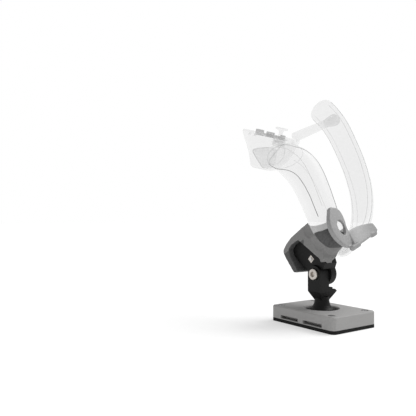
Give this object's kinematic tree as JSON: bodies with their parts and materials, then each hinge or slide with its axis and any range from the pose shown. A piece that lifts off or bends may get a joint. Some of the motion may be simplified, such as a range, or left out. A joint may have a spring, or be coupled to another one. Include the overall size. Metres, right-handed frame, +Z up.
{
  "type": "vr motion controller in a desktop stick mount",
  "caption": "Handheld VR controller with thumb controls, trigger and tracking arc, held in a cradle on a hinged stick rising from a weighted rectangular base.",
  "frame": {"origin": "centre of the foot pad's underside", "axes": "+Z up along the object's height, -Y toward the user, +X toward the outside of the right hand, where the tracking arc is"},
  "size_m": [0.1307, 0.1416, 0.2336],
  "materials": {
    "rubber_black": "matte",
    "base_grey": "fine speckle",
    "arm_black": "satin",
    "cradle_grey": "fine speckle",
    "rest_grey": "satin",
    "steel": "satin",
    "steel_warm": "satin",
    "brass_insert": "satin",
    "ghost_clear": "clear",
    "ghost_dark": "clear smoke",
    "ghost_board": "clear"
  },
  "bodies": {
    "base": {"foot_pad": "rubber_black", "base_tray": "base_grey", "base_cover": "base_grey", "cover_screws": "steel", "threaded_inserts": "brass_insert", "ballast_weights": "steel", "gimbal_yoke": "steel", "yoke_screws": "steel", "pitch_pins": "steel", "pitch_springs": "steel"},
    "gimbal": {"gimbal_ring": "steel", "roll_pins": "steel", "roll_springs": "steel"},
    "stick": {"stick_stem": "arm_black", "hinge_washer": "steel"},
    "thumb_gimbal": {"thumb_ring": "ghost_clear", "thumb_pivot_pin": "steel"},
    "thumb": {"thumbstick": "ghost_dark"},
    "trigger_lever": {"trigger": "ghost_dark", "trigger_pin": "steel"},
    "button_a_cap": {"button_a": "ghost_dark"},
    "button_b_cap": {"button_b": "ghost_dark"},
    "system_cap": {"system_button": "ghost_dark"},
    "pad": {"trackpad": "ghost_dark"},
    "arm": {"arc_end_plug": "ghost_dark", "arc_inner_shell": "ghost_clear", "arc_outer_shell": "ghost_clear", "arc_tip_cap": "ghost_clear", "battery_cell": "ghost_board", "bridge_bar": "ghost_clear", "button_switches": "ghost_dark", "clamp_nut": "steel_warm", "clamp_screw": "steel", "cradle_bracket": "cradle_grey", "cradle_rest": "rest_grey", "face_plate": "ghost_clear", "handle_back_shell": "ghost_clear", "handle_front_shell": "ghost_clear", "head_shell": "ghost_clear", "hinge_bolt": "steel_warm", "hinge_nut": "steel", "main_board": "ghost_board", "thumb_module": "ghost_clear", "thumb_ring_pins": "steel", "tilt_arm": "arm_black", "trigger_bracket": "ghost_clear", "trigger_spring": "steel"}
  },
  "joints": [
    {"name": "stick_pitch", "type": "hinge", "parent": "base", "child": "gimbal", "pos_m": [0, 0, 0.0092], "axis": [1, 0, 0], "range_deg": [-10, 10], "stiffness_Nm_per_rad": 3},
    {"name": "stick_roll", "type": "hinge", "parent": "gimbal", "child": "stick", "pos_m": [0, 0, 0.0092], "axis": [0, 1, 0], "range_deg": [-10, 10], "stiffness_Nm_per_rad": 3},
    {"name": "arm_tilt", "type": "hinge", "parent": "stick", "child": "arm", "pos_m": [0, 0, 0.0476], "axis": [1, 0, 0], "range_deg": [-20, 30]},
    {"name": "thumb_pitch", "type": "hinge", "parent": "arm", "child": "thumb_gimbal", "pos_m": [0.01574, 0.07706, 0.18498], "axis": [0.9981, 0, -0.0622], "range_deg": [-15, 15], "stiffness_Nm_per_rad": 0.02},
    {"name": "thumb_roll", "type": "hinge", "parent": "thumb_gimbal", "child": "thumb", "pos_m": [0.01574, 0.07706, 0.18498], "axis": [0.0162, 0.9653, 0.2606], "range_deg": [-15, 15], "stiffness_Nm_per_rad": 0.02},
    {"name": "trigger_pull", "type": "hinge", "parent": "arm", "child": "trigger_lever", "pos_m": [0, 0.081, 0.1734], "axis": [1, 0, 0], "range_deg": [-12, 0], "stiffness_Nm_per_rad": 0.05, "springref_deg": 8.59},
    {"name": "button_a_press", "type": "slide", "parent": "arm", "child": "button_a_cap", "axis": [-0.06, 0.2611, -0.9634], "range_m": [0, 0.001], "stiffness_N_per_m": 400, "springref_m": -0.001},
    {"name": "button_b_press", "type": "slide", "parent": "arm", "child": "button_b_cap", "axis": [-0.06, 0.2611, -0.9634], "range_m": [0, 0.001], "stiffness_N_per_m": 400, "springref_m": -0.001},
    {"name": "system_button_press", "type": "slide", "parent": "arm", "child": "system_cap", "axis": [-0.06, 0.2611, -0.9634], "range_m": [0, 0.0008], "stiffness_N_per_m": 400, "springref_m": -0.0008},
    {"name": "trackpad_click", "type": "slide", "parent": "arm", "child": "pad", "axis": [-0.06, 0.2611, -0.9634], "range_m": [0, 0.0003], "stiffness_N_per_m": 900, "springref_m": -0.0003}
  ]
}
